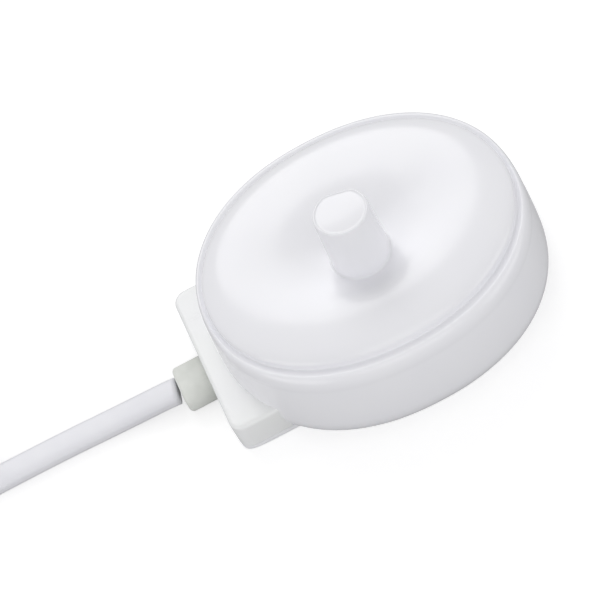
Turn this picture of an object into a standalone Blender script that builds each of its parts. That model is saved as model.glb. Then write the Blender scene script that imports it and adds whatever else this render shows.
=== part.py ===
"""Inductive charging base for an electric toothbrush, with its mains lead and two-pin plug.

Metres, +Z up. The base stands on z = 0, its lead leaves towards +Y, and the origin is under the
middle of the base, grommet included.
"""
import math

import bmesh
import bpy
import numpy as np

MM = 0.001
GAP = 0.3 * MM                       # clearance between pieces that touch

# Housing plan: a rounded oval skirt, and a smaller oval cap on top of it.
SKIRT_HALF_WIDTH = 30.9 * MM         # along X
SKIRT_HALF_LENGTH = 33.95 * MM       # along Y
SKIRT_SQUARENESS = 2.21              # superellipse exponent, 2 is a plain ellipse
LEDGE_WIDTH_SIDES = 4.4 * MM         # from the skirt's widest line in to the cap's edge, along X
LEDGE_WIDTH_ENDS = 2.15 * MM         # the same along Y
CAP_SQUARENESS = 2.09

# Housing heights, all above the surface that the base stands on.
WIDEST_Z = 5.5 * MM
SHOULDER_Z = 15.8 * MM
LEDGE_OUTER_Z = 18.75 * MM
CAP_EDGE_Z = 18.95 * MM              # valley where the ledge meets the cap
ROLL_FOOT_Z = 19.9 * MM              # widest line of the cap's rolled rim
CREST_RISE = 2.9 * MM                # crest of the rolled rim above its widest line
DISH_DEPTH = 2.0 * MM                # dish floor at the post below the crest
POST_HEIGHT = 14.2 * MM              # above the dish floor

RIM_ROLL_WIDTH = 10.0 * MM           # widest line of the roll to its crest
ROLL_POWER = 0.58                    # 0.5 is a quarter ellipse, more is a gentler slope
VALLEY_RADIUS = 0.6 * MM             # hollow fillet between the ledge and the cap
SHOULDER_MIX = 0.20                  # share of the ledge that the side wall leans in over
LEDGE_MIX = 0.60                     # share of the ledge where its flat part starts
LIP_INSET = 2.1 * MM                 # the skirt's bottom lip inside its widest line
SIDE_LEAN = 1.7                      # power of the side wall's inward lean
WALL = 1.8 * MM
POINTS_AROUND = 48                   # points around each housing section

# Post: a tapered cylinder with one flat, set off the middle of the dish.
POST_X = -4.1 * MM
POST_Y = 0.43 * MM                   # from the housing's centre
POST_TOP_RADIUS = 5.48 * MM
POST_BASE_RADIUS = 5.95 * MM
POST_FLAT = 4.8 * MM                 # axis to flat, at the top
POST_FLAT_ANGLE = math.radians(-14)
POST_FILLET = 0.35 * MM
POST_BEVEL = 0.5 * MM
POST_CROWN = 0.35 * MM
POST_WALL = 1.5 * MM

# Rear block that holds the lead.
BLOCK_HALF_WIDTH = 18.7 * MM
BLOCK_REAR = SKIRT_HALF_LENGTH + 4.05 * MM  # from the housing's centre
BLOCK_TOP_Z = 8.15 * MM
BLOCK_CORNER = 2.8 * MM
BLOCK_EDGE = 0.8 * MM
BLOCK_WALL = 1.6 * MM

PLATE_THICKNESS = 1.0 * MM
PLATE_EDGE = 0.3 * MM
PLATE_GROOVE_INSET = 5.0 * MM
PLATE_GROOVE_WIDTH = 1.2 * MM
PLATE_GROOVE_DEPTH = 0.5 * MM

# Flat two-core lead and its grommet.
CORD_WIDTH = 5.6 * MM
CORD_THICKNESS = 3.0 * MM
GROMMET_HALF_WIDTH = 5.0 * MM
GROMMET_HALF_HEIGHT = 2.9 * MM
GROMMET_LENGTH = 6.0 * MM            # outside the block
GROMMET_Z = 3.1 * MM
GROMMET_NECK_HALF_WIDTH = 3.6 * MM
GROMMET_NECK_HALF_HEIGHT = 1.6 * MM
GROMMET_FLANGE = 1.2 * MM
GROMMET_ROUND = 0.8 * MM
GROMMET_SQUARENESS = 3.2
CORD_SQUARENESS = 4.0

# Inside the housing.
BOARD_HALF_WIDTH = 17.0 * MM
BOARD_HALF_LENGTH = SKIRT_HALF_LENGTH - 12.95 * MM
BOARD_THICKNESS = 1.6 * MM
BOSS_HEIGHT = 3.0 * MM
BOSS_RADIUS = 2.2 * MM
BOSS_X = 13.5 * MM
BOSS_Y = SKIRT_HALF_LENGTH - 16.45 * MM
CLAMP_HALF_WIDTH = 8.5 * MM
CLAMP_FRONT = SKIRT_HALF_LENGTH - 8.45 * MM  # from the housing's centre
CLAMP_DEPTH = 4.5 * MM
CLAMP_THICKNESS = 1.6 * MM
CLAMP_SCREW_X = 6.0 * MM
SCREW_RADIUS = 1.0 * MM
SCREW_HEAD_RADIUS = 2.0 * MM
SCREW_HEAD_HEIGHT = 1.3 * MM
CORE_RADIUS = 2.9 * MM
BOBBIN_WALL = 0.9 * MM
BOBBIN_FLANGE = 1.0 * MM
BOBBIN_FLANGE_RADIUS = 9.3 * MM
COIL_RADIUS = 8.6 * MM

# Coil of stored lead, and the plug.
COIL_INNER = 22.4 * MM
COIL_OUTER = 33.8 * MM
COIL_HEIGHT = 12.4 * MM
COIL_OFFSET = (32.2 * MM + CORD_WIDTH / 2, 68.0 * MM)  # from the lead's exit to the coil's centre
TIE_WIDTH = 6.0 * MM
TIE_THICKNESS = 0.8 * MM
TIE_ANGLE = math.radians(35)
PLUG_HALF_WIDTH = 17.6 * MM
PLUG_HALF_HEIGHT = 6.85 * MM
PLUG_LENGTH = 33.0 * MM
PLUG_RELIEF_LENGTH = 12.0 * MM
PLUG_RELIEF_RADIUS = 4.6 * MM
TAIL_X = -1.0 * MM                   # tail and plug from the lead's exit
TAIL_START = 76.4 * MM
TAIL_END = 82.4 * MM
TAIL_START_Z = 8.2 * MM
PIN_RADIUS = 2.0 * MM
PIN_SLEEVE_RADIUS = 1.9 * MM
PIN_SLEEVE_LENGTH = 10.0 * MM
PIN_TIP_LENGTH = 9.0 * MM
PIN_SPACING = 18.6 * MM

# Sizes that follow from those above.
LIP_Z = PLATE_THICKNESS + GAP
CREST_Z = ROLL_FOOT_Z + CREST_RISE
DISH_Z = CREST_Z - DISH_DEPTH
POST_TOP_Z = DISH_Z + POST_HEIGHT
POST_BORE_TOP = POST_TOP_Z - POST_CROWN - POST_WALL
GROMMET_REACH = BLOCK_REAR + GAP + GROMMET_LENGTH
HOUSING_Y = (SKIRT_HALF_LENGTH - GROMMET_REACH) / 2
CORD_EXIT = (0.0, HOUSING_Y + GROMMET_REACH, GROMMET_Z)
BOARD_Z = PLATE_THICKNESS + BOSS_HEIGHT + GAP
BOARD_TOP_Z = BOARD_Z + BOARD_THICKNESS
POST_AXIS = (POST_X, HOUSING_Y + POST_Y)
CLAMP_Z = GROMMET_Z + CORD_THICKNESS / 2 + GAP
CLAMP_Y = HOUSING_Y + CLAMP_FRONT + CLAMP_DEPTH / 2
CORD_END_Y = HOUSING_Y + CLAMP_FRONT - 1.0 * MM
PASSAGE_TOP_Z = GROMMET_Z + CORD_THICKNESS / 2 + GAP
PASSAGE_HALF_WIDTH = GROMMET_HALF_WIDTH + GAP

# The lead's visible run: across, along and up from its exit, in millimetres.
CORD_ROUTE_MM = (
    (0.5, 0.6, 0.0),
    (0.9, 3.0, -0.25),
    (1.4, 7.0, -0.75),
    (1.85, 11.5, -1.2),
    (2.2, 16.5, -1.45),
    (2.45, 22.0, -1.55),
    (2.6, 30.0, -1.6),
    (2.65, 38.0, -1.6),
    (2.7, 46.0, -1.6),
    (2.7, 51.0, -1.6),
)

COLLECTION_NAME = "toothbrush_charging_base"
COLOURS = {
    # name: linear colour, roughness, metallic
    "housing_plastic": ((0.86, 0.86, 0.88), 0.22, 0.0),
    "block_plastic": ((0.85, 0.86, 0.85), 0.25, 0.0),
    "base_plastic": ((0.83, 0.83, 0.84), 0.35, 0.0),
    "grommet_rubber": ((0.66, 0.67, 0.64), 0.45, 0.0),
    "lead_sheath": ((0.80, 0.80, 0.83), 0.35, 0.0),
    "board_laminate": ((0.10, 0.30, 0.12), 0.5, 0.0),
    "bobbin_nylon": ((0.75, 0.72, 0.62), 0.5, 0.0),
    "winding_copper": ((0.80, 0.38, 0.18), 0.3, 1.0),
    "ferrite": ((0.06, 0.06, 0.065), 0.6, 0.0),
    "capacitor_yellow": ((0.80, 0.62, 0.10), 0.4, 0.0),
    "capacitor_sleeve": ((0.05, 0.07, 0.16), 0.35, 0.0),
    "component_black": ((0.03, 0.03, 0.03), 0.4, 0.0),
    "resistor_ceramic": ((0.35, 0.52, 0.62), 0.5, 0.0),
    "steel_zinc": ((0.62, 0.62, 0.64), 0.3, 1.0),
    "pin_nickel": ((0.70, 0.69, 0.66), 0.2, 1.0),
    "wire_blue": ((0.06, 0.16, 0.55), 0.45, 0.0),
    "wire_brown": ((0.22, 0.09, 0.04), 0.45, 0.0),
}


def clear_scene():
    for old in list(bpy.data.objects):
        bpy.data.objects.remove(old, do_unlink=True)


def collection(name):
    made = bpy.data.collections.new(name)
    bpy.context.scene.collection.children.link(made)
    return made


def material(name):
    colour, roughness, metallic = COLOURS[name]
    made = bpy.data.materials.new(name)
    made.use_nodes = True
    shader = made.node_tree.nodes["Principled BSDF"]
    shader.inputs["Base Color"].default_value = (*colour, 1.0)
    shader.inputs["Roughness"].default_value = roughness
    shader.inputs["Metallic"].default_value = metallic
    return made


def place(name, data, finish):
    """Object in the parts collection, or a hidden cutter or guide where it has no finish."""
    made = bpy.data.objects.new(name, data)
    if finish:
        data.materials.append(FINISHES[finish])
        PARTS.objects.link(made)
    else:
        CUTTERS.objects.link(made)
        made.hide_render = True
        made.display_type = "WIRE"
    return made


def from_bmesh(name, bm, finish):
    bmesh.ops.recalc_face_normals(bm, faces=bm.faces)
    mesh = bpy.data.meshes.new(name)
    bm.to_mesh(mesh)
    bm.free()
    mesh.shade_smooth()
    mesh.set_sharp_from_angle(angle=math.radians(35))
    return place(name, mesh, finish)


def join(bm, low, high):
    """Faces between two loops of vertices, either of which may be a single pole."""
    count = max(len(low), len(high))
    for i in range(count):
        j = (i + 1) % count
        if len(low) == 1:
            bm.faces.new((low[0], high[i], high[j]))
        elif len(high) == 1:
            bm.faces.new((low[i], low[j], high[0]))
        else:
            bm.faces.new((low[i], low[j], high[j], high[i]))


def loft(name, sections, finish, inside=None):
    """Closed solid through sections; with inside, a shell open where both lists start."""
    bm = bmesh.new()
    starts = []
    for wall in (sections, inside or []):
        loops = [[bm.verts.new(point) for point in section] for section in wall]
        for low, high in zip(loops, loops[1:]):
            join(bm, low, high)
        if loops:
            starts.append(loops[0])
        if loops and not inside:
            for end in (loops[0], loops[-1]):
                if len(end) > 1:
                    bm.faces.new(end)
    if inside:
        join(bm, starts[0], starts[1])
    return from_bmesh(name, bm, finish)


def hoop(name, sections, finish):
    """Closed ring through sections, the last joined to the first."""
    bm = bmesh.new()
    loops = [[bm.verts.new(point) for point in section] for section in sections]
    for low, high in zip(loops, loops[1:] + loops[:1]):
        join(bm, low, high)
    return from_bmesh(name, bm, finish)


def box(name, low, high, finish, corner=0.0, top_edge=0.0, bottom_edge=0.0):
    """Box between two corners, with rounded upright, top and bottom edges where asked."""
    bm = bmesh.new()
    bmesh.ops.create_cube(bm, size=1.0)
    for vert in bm.verts:
        vert.co = [(a + b) / 2 + (b - a) * c for a, b, c in zip(low, high, vert.co)]
    if corner:
        upright = [e for e in bm.edges if abs(e.verts[0].co.z - e.verts[1].co.z) > MM / 100]
        bmesh.ops.bevel(bm, geom=upright, offset=corner, segments=5, profile=0.5, affect="EDGES")
    for radius, level in ((top_edge, high[2]), (bottom_edge, low[2])):
        if radius:
            rim = [e for e in bm.edges if all(abs(v.co.z - level) < MM / 100 for v in e.verts)]
            bmesh.ops.bevel(bm, geom=rim, offset=radius, segments=3, profile=0.5, affect="EDGES")
    return from_bmesh(name, bm, finish)


def cut(target, tool, operation="DIFFERENCE"):
    change = target.modifiers.new(tool.name, "BOOLEAN")
    change.operation = operation
    change.solver = "EXACT"
    change.object = tool
    return target


def turn(share):
    """Angle through a quarter turn."""
    return share * math.pi / 2


def circle(radius, z, centre, count=20):
    return [(centre[0] + radius * math.cos(a), centre[1] + radius * math.sin(a), z)
            for a in np.linspace(0, 2 * math.pi, count, endpoint=False)]


def stacked(name, centre, steps, finish, count=20):
    """Upright turned solid from (radius, z) steps."""
    return loft(name, [circle(radius, z, centre, count) for radius, z in steps], finish)


def turned(name, centre, profile, finish, count=40):
    """Upright turned ring from a closed profile of (radius, z)."""
    return hoop(name, [circle(radius, z, centre, count) for radius, z in profile], finish)


def rod(name, centre, axis, half_length, radius, finish, count=16):
    """Lying cylinder along X (axis 0) or Y (axis 1)."""
    sections = []
    for end in (-half_length, half_length):
        section = []
        for a in np.linspace(0, 2 * math.pi, count, endpoint=False):
            point = [centre[0], centre[1], centre[2] + radius * math.sin(a)]
            point[axis] += end
            point[1 - axis] += radius * math.cos(a)
            section.append(point)
        sections.append(section)
    return loft(name, sections, finish)


def oval(half_width, half_length, squareness, centre, z):
    """Superellipse |x/a|^n + |y/b|^n = 1 at height z."""
    points = []
    for a in np.linspace(0, 2 * math.pi, POINTS_AROUND, endpoint=False):
        c, s = math.cos(a), math.sin(a)
        reach = (abs(c) ** squareness + abs(s) ** squareness) ** (-1 / squareness)
        points.append((centre[0] + half_width * c * reach, centre[1] + half_length * s * reach, z))
    return points


def upright_oval(half_width, half_height, squareness, centre, y, count=24):
    """Superellipse that faces along Y, for pieces carried along the lead."""
    points = []
    for a in np.linspace(0, 2 * math.pi, count, endpoint=False):
        c, s = math.cos(a), math.sin(a)
        reach = (abs(c) ** squareness + abs(s) ** squareness) ** (-1 / squareness)
        points.append((centre[0] + half_width * c * reach, y, centre[1] + half_height * s * reach))
    return points


def shell_section(mix, z, inset=0.0):
    """Housing section, from the skirt's plan (mix 0) to the cap's plan (mix 1)."""
    return oval(SKIRT_HALF_WIDTH - LEDGE_WIDTH_SIDES * mix - inset,
                SKIRT_HALF_LENGTH - LEDGE_WIDTH_ENDS * mix - inset,
                SKIRT_SQUARENESS + (CAP_SQUARENESS - SKIRT_SQUARENESS) * mix,
                (0.0, HOUSING_Y), z)


def post_section(radius, z):
    """Circle about the post's axis, cut off by the post's flat."""
    flat = radius - (POST_TOP_RADIUS - POST_FLAT)
    points = []
    for a in np.linspace(0, 2 * math.pi, POINTS_AROUND, endpoint=False):
        facing = math.cos(a - POST_FLAT_ANGLE)
        reach = min(radius, flat / facing) if facing > 0.1 else radius
        points.append((POST_AXIS[0] + reach * math.cos(a), POST_AXIS[1] + reach * math.sin(a), z))
    return points


def between(first, last, share, z):
    """Section part of the way from one section to another, at height z."""
    return [(a[0] + (b[0] - a[0]) * share, a[1] + (b[1] - a[1]) * share, z)
            for a, b in zip(first, last)]


def side_sections():
    """Outside of the skirt from its bottom lip up to its shoulder."""
    sections = []
    for share in (0.0, 0.25, 0.5, 0.75):
        inset = LIP_INSET * (1 - math.sin(turn(share)))
        z = WIDEST_Z - (WIDEST_Z - LIP_Z) * math.cos(turn(share))
        sections.append(shell_section(0, z, inset))
    for share in (0.0, 0.3, 0.55, 0.8, 1.0):
        z = WIDEST_Z + (SHOULDER_Z - WIDEST_Z) * share
        sections.append(shell_section(SHOULDER_MIX * share ** SIDE_LEAN, z))
    return sections


def cap_sections():
    """Shoulder, ledge, valley, rolled rim and dish, out from the skirt and in to the post.

    The roll rises by CREST_RISE times (1 - u^2) to ROLL_POWER, where u is 1 at its widest line and
    0 at its crest. The dish falls as 1 - cos(0.8 pi share).
    """
    sections = []
    for share in (0.25, 0.5, 0.75, 1.0):
        mix = LEDGE_MIX - (LEDGE_MIX - SHOULDER_MIX) * math.cos(turn(share))
        z = SHOULDER_Z + (LEDGE_OUTER_Z - SHOULDER_Z) * math.sin(turn(share))
        sections.append(shell_section(mix, z))
    for share in (0.0, 0.5, 1.0):
        inset = -VALLEY_RADIUS * (1 - math.sin(turn(share)))
        z = CAP_EDGE_Z + VALLEY_RADIUS * (1 - math.cos(turn(share)))
        sections.append(shell_section(1, z, inset))
    for share in (0.0, 0.1, 0.22, 0.36, 0.52, 0.68, 0.84, 1.0):
        u = math.cos(turn(share))
        z = ROLL_FOOT_Z + CREST_RISE * (1 - u * u) ** ROLL_POWER
        sections.append(shell_section(1, z, RIM_ROLL_WIDTH * (1 - u)))
    crest = sections[-1]
    foot = post_section(POST_BASE_RADIUS + POST_FILLET, DISH_Z)
    for share in (0.25, 0.5, 0.75, 1.0):
        fall = (1 - math.cos(0.8 * math.pi * share)) / (1 - math.cos(0.8 * math.pi))
        sections.append(between(crest, foot, share, CREST_Z - DISH_DEPTH * fall))
    return sections


def post_sections():
    """Post from its base fillet to the crowned top inside a bevelled edge."""
    sections = []
    for share in (0.5, 1.0):
        radius = POST_BASE_RADIUS + POST_FILLET * (1 - math.sin(turn(share)))
        sections.append(post_section(radius, DISH_Z + POST_FILLET * (1 - math.cos(turn(share)))))
    edge = POST_TOP_Z - POST_CROWN
    facet = POST_TOP_RADIUS - POST_BEVEL
    sections.append(post_section(POST_TOP_RADIUS, edge - POST_BEVEL))
    sections.append(post_section(facet + POST_BEVEL * 0.7, edge - POST_BEVEL * 0.3))
    sections.append(post_section(facet, edge))
    sections.append(post_section(facet * 0.6, edge + POST_CROWN * 0.7))
    sections.append([(*POST_AXIS, POST_TOP_Z)])
    return sections


def hollow_sections():
    """Inside of the housing from its bottom lip up, under the dish and into the post."""
    foot = post_section(BOBBIN_FLANGE_RADIUS + WALL, DISH_Z - WALL)
    crest = shell_section(1, CREST_Z - WALL, RIM_ROLL_WIDTH)
    return [
        shell_section(0, LIP_Z, LIP_INSET + WALL * 0.8),
        shell_section(0, WIDEST_Z, WALL * 1.2),
        shell_section(0, WIDEST_Z + WALL, WALL),
        shell_section(SHOULDER_MIX, SHOULDER_Z - WALL, WALL),
        shell_section(LEDGE_MIX, LEDGE_OUTER_Z - WALL * 1.3, WALL * 0.8),
        shell_section(1, ROLL_FOOT_Z + CREST_RISE * 0.3 - WALL, WALL * 1.2),
        crest,
        between(foot, crest, 0.5, DISH_Z - WALL + DISH_DEPTH * 0.4),
        foot,
        post_section(POST_TOP_RADIUS - POST_WALL + MM / 2, DISH_Z - WALL),
        post_section(POST_TOP_RADIUS - POST_WALL, POST_BORE_TOP),
        [(*POST_AXIS, POST_BORE_TOP)],
    ]


def make_housing():
    housing = loft("top_housing", side_sections() + cap_sections() + post_sections(),
                   "housing_plastic", hollow_sections())
    passage = box("cord_passage", (-PASSAGE_HALF_WIDTH, HOUSING_Y + CLAMP_FRONT, -MM),
                  (PASSAGE_HALF_WIDTH, HOUSING_Y + BLOCK_REAR, PASSAGE_TOP_Z), None)
    cut(housing, passage)


def make_block():
    front = HOUSING_Y + SKIRT_HALF_LENGTH * 0.6
    rear = HOUSING_Y + BLOCK_REAR
    block = box("cord_block", (-BLOCK_HALF_WIDTH, front, LIP_Z),
                (BLOCK_HALF_WIDTH, rear, BLOCK_TOP_Z), "block_plastic", BLOCK_CORNER, BLOCK_EDGE)
    inner = BLOCK_HALF_WIDTH - BLOCK_WALL
    room = box("block_room", (-inner, front - MM, -MM),
               (inner, rear - BLOCK_WALL, BLOCK_TOP_Z - BLOCK_WALL), None,
               BLOCK_CORNER - BLOCK_WALL)
    skirt = loft("skirt_room", [shell_section(0, -MM, -GAP)] + [
        shell_section(SHOULDER_MIX * share ** SIDE_LEAN, WIDEST_Z + (SHOULDER_Z - WIDEST_Z) * share, -GAP)
        for share in (0.0, 0.3, 0.55, 0.8, 1.0)], None)
    slot = box("grommet_slot", (-GROMMET_NECK_HALF_WIDTH - GAP, rear - 2 * BLOCK_WALL, -MM),
               (GROMMET_NECK_HALF_WIDTH + GAP, rear + MM,
                GROMMET_Z + GROMMET_NECK_HALF_HEIGHT + GAP), None)
    for tool in (room, skirt, slot):
        cut(block, tool)


def make_base_plate():
    plate = loft("base_plate", [shell_section(0, 0.0, LIP_INSET + PLATE_EDGE),
                                shell_section(0, PLATE_EDGE, LIP_INSET),
                                shell_section(0, PLATE_THICKNESS, LIP_INSET)], "base_plastic")
    tongue = box("plate_tongue", (-BLOCK_HALF_WIDTH, HOUSING_Y + SKIRT_HALF_LENGTH * 0.3, 0.0),
                 (BLOCK_HALF_WIDTH, HOUSING_Y + BLOCK_REAR, PLATE_THICKNESS), None,
                 BLOCK_CORNER, 0.0, PLATE_EDGE)
    cut(plate, tongue, "UNION")
    for side_x in (-1, 1):
        for side_y in (-1, 1):
            centre = (side_x * BOSS_X, HOUSING_Y + side_y * BOSS_Y)
            boss = stacked(f"boss_{side_x}_{side_y}", centre,
                           [(BOSS_RADIUS, PLATE_THICKNESS * 0.75),
                            (BOSS_RADIUS, PLATE_THICKNESS + BOSS_HEIGHT)], None, 16)
            cut(plate, boss, "UNION")
        centre = (side_x * CLAMP_SCREW_X, CLAMP_Y)
        boss = stacked(f"clamp_boss_{side_x}", centre,
                       [(SCREW_HEAD_RADIUS, PLATE_THICKNESS * 0.75),
                        (SCREW_HEAD_RADIUS, CLAMP_Z - GAP)], None, 16)
        cut(plate, boss, "UNION")
        hole = stacked(f"clamp_pilot_{side_x}", centre,
                       [(SCREW_RADIUS + GAP, PLATE_THICKNESS + GAP), (SCREW_RADIUS + GAP, CLAMP_Z + MM)],
                       None, 16)
        cut(plate, hole)
    groove = hoop("plate_groove", [
        shell_section(0, -MM, PLATE_GROOVE_INSET),
        shell_section(0, PLATE_GROOVE_DEPTH, PLATE_GROOVE_INSET),
        shell_section(0, PLATE_GROOVE_DEPTH, PLATE_GROOVE_INSET + PLATE_GROOVE_WIDTH),
        shell_section(0, -MM, PLATE_GROOVE_INSET + PLATE_GROOVE_WIDTH)], None)
    cut(plate, groove)


def make_grommet():
    rear = HOUSING_Y + BLOCK_REAR
    inner = rear - BLOCK_WALL - GAP
    centre = (0.0, GROMMET_Z)
    neck = (GROMMET_NECK_HALF_WIDTH, GROMMET_NECK_HALF_HEIGHT)
    boot = (GROMMET_HALF_WIDTH, GROMMET_HALF_HEIGHT)
    flange = (GROMMET_HALF_WIDTH, GROMMET_NECK_HALF_HEIGHT)
    start = rear + GAP
    end = start + GROMMET_LENGTH
    steps = (
        (flange, inner - GROMMET_FLANGE), (flange, inner), (neck, inner), (neck, start),
        (boot, start), (boot, end - GROMMET_ROUND),
        ([size - GROMMET_ROUND * 0.3 for size in boot], end - GROMMET_ROUND * 0.3),
        ([size - GROMMET_ROUND for size in boot], end),
    )
    loft("grommet", [upright_oval(*size, GROMMET_SQUARENESS, centre, y) for size, y in steps],
         "grommet_rubber")
    lead = (CORD_WIDTH / 2, CORD_THICKNESS / 2)
    loft("inner_cord_end", [upright_oval(*lead, CORD_SQUARENESS, centre, y)
                            for y in (inner - GROMMET_FLANGE - GAP, CORD_END_Y)], "lead_sheath")


def make_clamp():
    clamp = box("cord_clamp", (-CLAMP_HALF_WIDTH, HOUSING_Y + CLAMP_FRONT, CLAMP_Z),
                (CLAMP_HALF_WIDTH, HOUSING_Y + CLAMP_FRONT + CLAMP_DEPTH, CLAMP_Z + CLAMP_THICKNESS),
                "base_plastic", MM)
    for side, label in ((-1, "left"), (1, "right")):
        centre = (side * CLAMP_SCREW_X, CLAMP_Y)
        top = CLAMP_Z + CLAMP_THICKNESS
        hole = stacked(f"clamp_hole_{label}", centre,
                       [(SCREW_RADIUS + GAP, CLAMP_Z - MM), (SCREW_RADIUS + GAP, top + MM)], None, 16)
        cut(clamp, hole)
        stacked(f"clamp_screw_{label}", centre,
                [(SCREW_RADIUS, PLATE_THICKNESS + 2 * GAP), (SCREW_RADIUS, top + GAP),
                 (SCREW_HEAD_RADIUS, top + GAP), (SCREW_HEAD_RADIUS, top + GAP + SCREW_HEAD_HEIGHT)],
                "steel_zinc", 16)


def make_coil_and_core():
    low = BOARD_TOP_Z + GAP
    high = DISH_Z - WALL - GAP
    bore = CORE_RADIUS + GAP
    tube = bore + BOBBIN_WALL
    flange = BOBBIN_FLANGE
    turned("coil_bobbin", POST_AXIS,
           [(bore, low), (BOBBIN_FLANGE_RADIUS, low), (BOBBIN_FLANGE_RADIUS, low + flange),
            (tube, low + flange), (tube, high - flange), (BOBBIN_FLANGE_RADIUS, high - flange),
            (BOBBIN_FLANGE_RADIUS, high), (bore, high)], "bobbin_nylon", 32)
    turned("charging_coil", POST_AXIS,
           [(tube + GAP, low + flange + GAP), (COIL_RADIUS, low + flange + GAP),
            (COIL_RADIUS, high - flange - GAP), (tube + GAP, high - flange - GAP)],
           "winding_copper", 32)
    stacked("ferrite_core", POST_AXIS, [(CORE_RADIUS, low), (CORE_RADIUS, POST_BORE_TOP - GAP)],
            "ferrite", 24)


def make_board():
    """Circuit board and the parts soldered on it."""
    box("circuit_board", (-BOARD_HALF_WIDTH, HOUSING_Y - BOARD_HALF_LENGTH, BOARD_Z),
        (BOARD_HALF_WIDTH, HOUSING_Y + BOARD_HALF_LENGTH, BOARD_TOP_Z), "board_laminate", 3 * MM)
    low = BOARD_TOP_Z + GAP

    def spot(x, y):
        return (x * MM, HOUSING_Y + y * MM)

    x, y = spot(12.5, -10.0)
    box("film_capacitor", (x - 2.75 * MM, y - 6.5 * MM, low), (x + 2.75 * MM, y + 6.5 * MM, low + 9 * MM),
        "capacitor_yellow", 0.8 * MM)
    stacked("electrolytic_capacitor", spot(11.0, 10.0), [(4 * MM, low), (4 * MM, low + 9.5 * MM)],
            "capacitor_sleeve")
    stacked("filter_choke", spot(0.0, 14.5), [(3.2 * MM, low), (3.2 * MM, low + 7 * MM)],
            "component_black")
    x, y = spot(-14.6, -6.8)
    box("switching_transistor", (x - 1.8 * MM, y - 2.4 * MM, low), (x + 1.8 * MM, y + 2.4 * MM, low + 5 * MM),
        "component_black", 0.6 * MM)
    beside_bobbin = POST_X - BOBBIN_FLANGE_RADIUS - GAP - 1.5 * MM
    rod("fusible_resistor", (beside_bobbin, HOUSING_Y + 9 * MM, low + 1.5 * MM), 1, 4.5 * MM, 1.5 * MM,
        "resistor_ceramic")
    for i in range(4):
        rod(f"diode_{i + 1}", (*spot(-12.0 + 5.0 * i, -15.5), low + 1.3 * MM), 1, 2.6 * MM, 1.3 * MM,
            "component_black", 12)


def smooth_route(points, spacing):
    """Points a step apart on a Catmull-Rom curve through the given points."""
    given = np.array(points, dtype=float)
    padded = np.vstack([2 * given[0] - given[1], given, 2 * given[-1] - given[-2]])
    fine = []
    for p0, p1, p2, p3 in zip(padded, padded[1:], padded[2:], padded[3:]):
        for t in np.linspace(0, 1, 12, endpoint=False):
            fine.append(0.5 * (2 * p1 + (p2 - p0) * t + (2 * p0 - 5 * p1 + 4 * p2 - p3) * t ** 2
                               + (3 * p1 - p0 - 3 * p2 + p3) * t ** 3))
    fine = np.array(fine + [given[-1]])
    along = np.concatenate([[0], np.cumsum(np.linalg.norm(np.diff(fine, axis=0), axis=1))])
    steps = np.linspace(0, along[-1], max(3, round(along[-1] / spacing) + 1))
    return [[float(np.interp(s, along, fine[:, k])) for k in range(3)] for s in steps]


def tube(name, points, finish, half_width, half_height, squareness=2.0):
    """Lead or wire along points, its section carried by a guide curve so that it stays level."""
    outline = bpy.data.curves.new(name + "_section", "CURVE")
    ring = outline.splines.new("POLY")
    sides = 12
    ring.points.add(sides - 1)
    for i, point in enumerate(ring.points):
        a = -2 * math.pi * (i + 0.5) / sides
        c, s = math.cos(a), math.sin(a)
        reach = (abs(c) ** squareness + abs(s) ** squareness) ** (-1 / squareness)
        point.co = (half_width * c * reach, half_height * s * reach, 0, 1)
    ring.use_cyclic_u = True
    guide = place(name + "_section", outline, None)
    curve = bpy.data.curves.new(name, "CURVE")
    curve.dimensions = "3D"
    curve.twist_mode = "Z_UP"
    curve.bevel_mode = "OBJECT"
    curve.bevel_object = guide
    curve.use_fill_caps = True
    spline = curve.splines.new("POLY")
    spline.points.add(len(points) - 1)
    for made, point in zip(spline.points, points):
        made.co = (*point, 1)
    return place(name, curve, finish)


def make_wires():
    """The lead's two cores, from its stripped end up to the board."""
    for side, label, finish in ((-1, "neutral_wire", "wire_blue"), (1, "live_wire", "wire_brown")):
        start = (side * 1.3 * MM, CORD_END_Y - GAP, GROMMET_Z)
        board_edge = HOUSING_Y + BOARD_HALF_LENGTH
        end_z = BOARD_TOP_Z + 2 * MM
        route = [start, (side * 2.2 * MM, board_edge + 1.6 * MM, GROMMET_Z + 0.8 * MM),
                 (side * 3.6 * MM, board_edge + 1.6 * MM, end_z - 1.2 * MM),
                 (side * 5.5 * MM, board_edge - 0.6 * MM, end_z),
                 (side * 6.5 * MM, board_edge - 3.5 * MM, end_z - 0.6 * MM)]
        tube(label, smooth_route(route, 1.6 * MM), finish, 0.55 * MM, 0.55 * MM)


def from_exit(x, y, z):
    """World place of a point given from the lead's exit."""
    return (CORD_EXIT[0] + x, CORD_EXIT[1] + y, CORD_EXIT[2] + z)


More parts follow.
